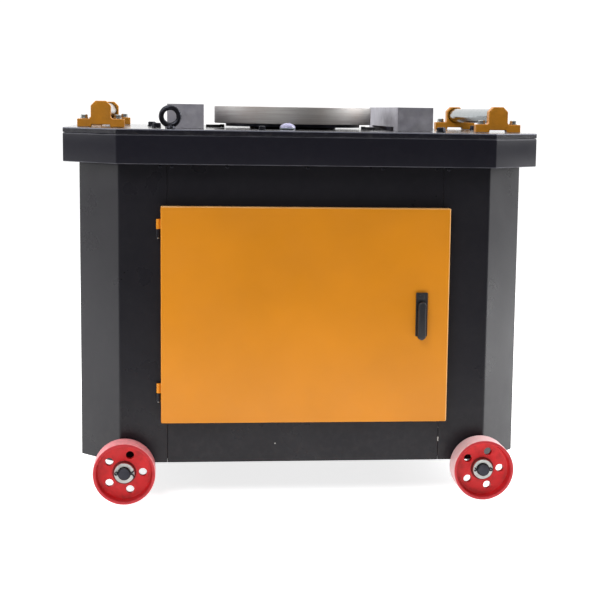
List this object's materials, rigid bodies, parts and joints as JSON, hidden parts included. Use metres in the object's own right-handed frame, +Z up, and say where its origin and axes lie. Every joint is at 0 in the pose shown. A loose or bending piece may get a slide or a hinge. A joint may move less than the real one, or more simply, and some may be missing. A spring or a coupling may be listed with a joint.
{
  "type": "rebar bending machine",
  "caption": "Floor-standing rebar bender: a wheeled cabinet with a door, a worm-driven turning disc on its table, stop bars and rollers beside it.",
  "frame": {"origin": "on the floor, under the middle of the cabinet", "axes": "+X to the right when facing the door, -Y towards the door, +Z up"},
  "size_m": [0.98, 0.897, 0.803],
  "materials": {
    "black_paint": "semi-gloss black powder coat with a faint blue cast",
    "orange_paint": "semi-gloss orange powder coat",
    "ochre_paint": "ochre enamel on castings",
    "red_paint": "red enamel on castings, worn on the treads",
    "grey_paint": "grey machinery enamel",
    "milled_steel": "face-milled",
    "turned_steel": "turned on its rim",
    "chrome": "hard chrome plated",
    "dark_steel": "blackened steel",
    "cast_iron": "as cast",
    "belt_rubber": "matte",
    "black_plastic": "moulded, satin",
    "red_plastic": "moulded, glossy",
    "lamp_lens": "clear lavender lens on a plated bezel",
    "zinc_steel": "zinc plated fasteners"
  },
  "bodies": {
    "machine": {"table_plate": "black_paint", "apron_front": "black_paint", "apron_rear": "black_paint", "apron_left": "black_paint", "apron_right": "black_paint", "side_shell_left": "black_paint", "side_shell_right": "black_paint", "front_panel": "black_paint", "rear_panel": "black_paint", "floor_pan": "black_paint", "chassis_rail_left": "black_paint", "chassis_rail_right": "black_paint", "hinge_knuckle_low": "black_paint", "hinge_knuckle_high": "black_paint", "motor_base": "black_paint", "bearing_block_front_left": "ochre_paint", "bearing_block_front_right": "ochre_paint", "bearing_block_rear_left": "ochre_paint", "bearing_block_rear_right": "ochre_paint", "gearbox_beam_left": "grey_paint", "gearbox_beam_right": "grey_paint", "gearbox_housing": "grey_paint", "gearbox_cover": "grey_paint", "motor_body": "grey_paint", "electrical_box": "grey_paint", "stop_bar_left": "milled_steel", "stop_bar_right": "milled_steel", "axle_left": "dark_steel", "axle_right": "dark_steel", "lifting_eye_front": "dark_steel", "lifting_eye_rear": "dark_steel", "main_bearing": "cast_iron", "input_bracket": "cast_iron", "drive_belt": "belt_rubber", "cable_gland": "black_plastic", "limit_switch_left": "black_plastic", "limit_switch_right": "black_plastic", "terminal_box": "black_plastic", "indicator_lamp": "lamp_lens"},
    "door": {"door": "orange_paint", "lock_plate": "black_plastic"},
    "lock_spindle": {"lock_spindle": "dark_steel"},
    "lock_lever": {"lock_lever": "black_plastic"},
    "disc": {"working_disc": "turned_steel", "angle_ring": "dark_steel", "main_shaft": "dark_steel", "worm_wheel": "cast_iron"},
    "worm": {"worm": "dark_steel", "change_gear": "dark_steel"},
    "input": {"input_shaft": "dark_steel", "input_pulley": "cast_iron"},
    "motor_rotor": {"motor_shaft": "dark_steel", "motor_pulley": "cast_iron"},
    "roller_left": {"roller_left": "chrome"},
    "roller_right": {"roller_right": "chrome"},
    "wheel_front_left": {"wheel_front_left": "red_paint"},
    "wheel_front_right": {"wheel_front_right": "red_paint"},
    "wheel_rear_left": {"wheel_rear_left": "red_paint"},
    "wheel_rear_right": {"wheel_rear_right": "red_paint"},
    "stop_button": {"emergency_stop": "red_plastic"}
  },
  "joints": [
    {"name": "door_hinge", "type": "hinge", "parent": "machine", "child": "door", "pos_m": [-0.298, -0.395, 0.377], "axis": [0, 0, -1], "range_deg": [0, 110]},
    {"name": "lock_turn", "type": "hinge", "parent": "door", "child": "lock_spindle", "pos_m": [0.236, -0.4, 0.398], "axis": [0, 1, 0], "range_deg": [0, 90]},
    {"name": "lever_lift", "type": "hinge", "parent": "lock_spindle", "child": "lock_lever", "pos_m": [0.236, -0.4163, 0.398], "axis": [-1, 0, 0], "range_deg": [0, 30]},
    {"name": "disc_spin", "type": "hinge", "parent": "machine", "child": "disc", "pos_m": [0, 0, 0.776], "axis": [0, 0, 1], "continuous": true},
    {"name": "worm_spin", "type": "hinge", "parent": "machine", "child": "worm", "pos_m": [-0.12, 0, 0.56], "axis": [0, 1, 0], "continuous": true},
    {"name": "input_spin", "type": "hinge", "parent": "machine", "child": "input", "pos_m": [-0.12, 0, 0.44], "axis": [0, 1, 0], "continuous": true},
    {"name": "motor_spin", "type": "hinge", "parent": "machine", "child": "motor_rotor", "pos_m": [-0.12, 0, 0.215], "axis": [0, 1, 0], "continuous": true},
    {"name": "roller_left_spin", "type": "hinge", "parent": "machine", "child": "roller_left", "pos_m": [-0.415, 0, 0.783], "axis": [0, 1, 0], "continuous": true},
    {"name": "roller_right_spin", "type": "hinge", "parent": "machine", "child": "roller_right", "pos_m": [0.415, 0, 0.783], "axis": [0, 1, 0], "continuous": true},
    {"name": "wheel_front_left_spin", "type": "hinge", "parent": "machine", "child": "wheel_front_left", "pos_m": [-0.3665, -0.421, 0.06226], "axis": [0, 1, 0], "continuous": true},
    {"name": "wheel_front_right_spin", "type": "hinge", "parent": "machine", "child": "wheel_front_right", "pos_m": [0.3665, -0.421, 0.06226], "axis": [0, 1, 0], "continuous": true},
    {"name": "wheel_rear_left_spin", "type": "hinge", "parent": "machine", "child": "wheel_rear_left", "pos_m": [-0.3665, 0.421, 0.06226], "axis": [0, 1, 0], "continuous": true},
    {"name": "wheel_rear_right_spin", "type": "hinge", "parent": "machine", "child": "wheel_rear_right", "pos_m": [0.3665, 0.421, 0.06226], "axis": [0, 1, 0], "continuous": true},
    {"name": "stop_button_press", "type": "slide", "parent": "machine", "child": "stop_button", "axis": [-1, 0, 0], "range_m": [0, 0.005], "stiffness_N_per_m": 800}
  ],
  "couplings": [
    {"joint": "worm_spin", "follows": "disc_spin", "ratio": 15},
    {"joint": "input_spin", "follows": "disc_spin", "ratio": -22.5},
    {"joint": "motor_spin", "follows": "disc_spin", "ratio": -45}
  ]
}
